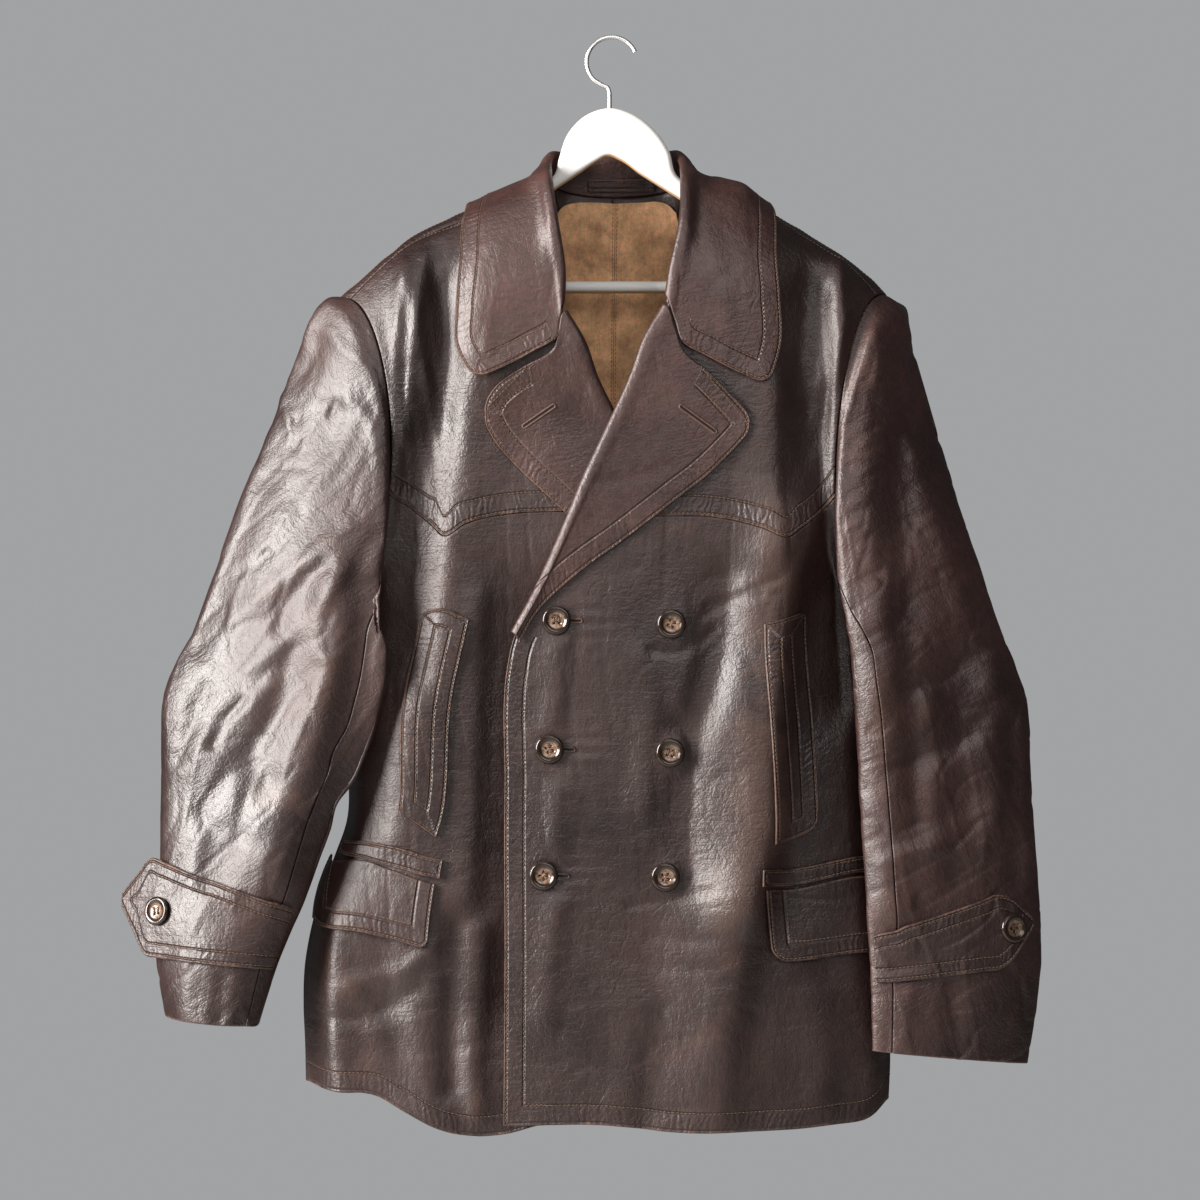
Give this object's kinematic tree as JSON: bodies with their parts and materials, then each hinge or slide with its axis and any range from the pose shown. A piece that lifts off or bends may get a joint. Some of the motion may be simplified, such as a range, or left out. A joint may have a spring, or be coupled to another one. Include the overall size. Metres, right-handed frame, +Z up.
{
  "type": "double-breasted leather coat on a hanger",
  "caption": "Worn hip-length leather coat with wide collar and lapels, pointed yokes, slanted pockets and strapped cuffs, hanging on a painted wooden coat hanger.",
  "frame": {"origin": "inner top of the hanger's hook, where a rail holds it", "axes": "+Z up; -Y towards the viewer, out of the coat's front; +X to the viewer's right, the wearer's left"},
  "size_m": [0.7947, 0.1239, 0.9494],
  "materials": {
    "back_left": "dark brown semi-gloss leather, fine grain, rubbed to red-tan at edges and folds",
    "back_right": "dark brown semi-gloss leather, fine grain, rubbed to red-tan at edges and folds",
    "front_left": "dark brown semi-gloss leather, fine grain, rubbed to red-tan at edges and folds",
    "front_right": "dark brown semi-gloss leather, fine grain, rubbed to red-tan at edges and folds",
    "yoke_left": "dark brown semi-gloss leather, fine grain, rubbed to red-tan at edges and folds",
    "yoke_right": "dark brown semi-gloss leather, fine grain, rubbed to red-tan at edges and folds",
    "collar": "dark brown semi-gloss leather, fine grain, rubbed to red-tan at edges and folds",
    "lapel_left": "dark brown semi-gloss leather, fine grain, rubbed to red-tan at edges and folds",
    "lapel_right": "dark brown semi-gloss leather, fine grain, rubbed to red-tan at edges and folds",
    "lining_left": "tan-brown napped cotton",
    "lining_right": "tan-brown napped cotton",
    "hanger_loop": "dark brown semi-gloss leather, fine grain, rubbed to red-tan at edges and folds",
    "sleeve_top_left": "dark brown semi-gloss leather, fine grain, rubbed to red-tan at edges and folds",
    "sleeve_under_left": "dark brown semi-gloss leather, fine grain, rubbed to red-tan at edges and folds",
    "sleeve_top_right": "dark brown semi-gloss leather, fine grain, rubbed to red-tan at edges and folds",
    "sleeve_under_right": "dark brown semi-gloss leather, fine grain, rubbed to red-tan at edges and folds",
    "cuff_strap_left": "dark brown semi-gloss leather, fine grain, rubbed to red-tan at edges and folds",
    "cuff_strap_right": "dark brown semi-gloss leather, fine grain, rubbed to red-tan at edges and folds",
    "welt_left": "dark brown semi-gloss leather, fine grain, rubbed to red-tan at edges and folds",
    "welt_right": "dark brown semi-gloss leather, fine grain, rubbed to red-tan at edges and folds",
    "flap_band_left": "dark brown semi-gloss leather, fine grain, rubbed to red-tan at edges and folds",
    "flap_band_right": "dark brown semi-gloss leather, fine grain, rubbed to red-tan at edges and folds",
    "flap_left": "dark brown semi-gloss leather, fine grain, rubbed to red-tan at edges and folds",
    "flap_right": "dark brown semi-gloss leather, fine grain, rubbed to red-tan at edges and folds",
    "button_front_1": "polished mottled brown horn",
    "button_front_2": "polished mottled brown horn",
    "button_front_3": "polished mottled brown horn",
    "button_front_4": "polished mottled brown horn",
    "button_front_5": "polished mottled brown horn",
    "button_front_6": "polished mottled brown horn",
    "button_cuff_left": "polished mottled brown horn",
    "button_cuff_right": "polished mottled brown horn",
    "hanger_board": "white satin paint on wood",
    "hanger_bar": "white satin paint on wood",
    "hanger_hook": "plated steel wire"
  },
  "bodies": {
    "root": {"back_left": "back_left", "back_right": "back_right", "front_left": "front_left", "front_right": "front_right", "yoke_left": "yoke_left", "yoke_right": "yoke_right", "collar": "collar", "lapel_left": "lapel_left", "lapel_right": "lapel_right", "lining_left": "lining_left", "lining_right": "lining_right", "hanger_loop": "hanger_loop", "sleeve_top_left": "sleeve_top_left", "sleeve_under_left": "sleeve_under_left", "sleeve_top_right": "sleeve_top_right", "sleeve_under_right": "sleeve_under_right", "cuff_strap_left": "cuff_strap_left", "cuff_strap_right": "cuff_strap_right", "welt_left": "welt_left", "welt_right": "welt_right", "flap_band_left": "flap_band_left", "flap_band_right": "flap_band_right", "flap_left": "flap_left", "flap_right": "flap_right", "button_front_1": "button_front_1", "button_front_2": "button_front_2", "button_front_3": "button_front_3", "button_front_4": "button_front_4", "button_front_5": "button_front_5", "button_front_6": "button_front_6", "button_cuff_left": "button_cuff_left", "button_cuff_right": "button_cuff_right", "hanger_board": "hanger_board", "hanger_bar": "hanger_bar", "hanger_hook": "hanger_hook"}
  },
  "joints": []
}
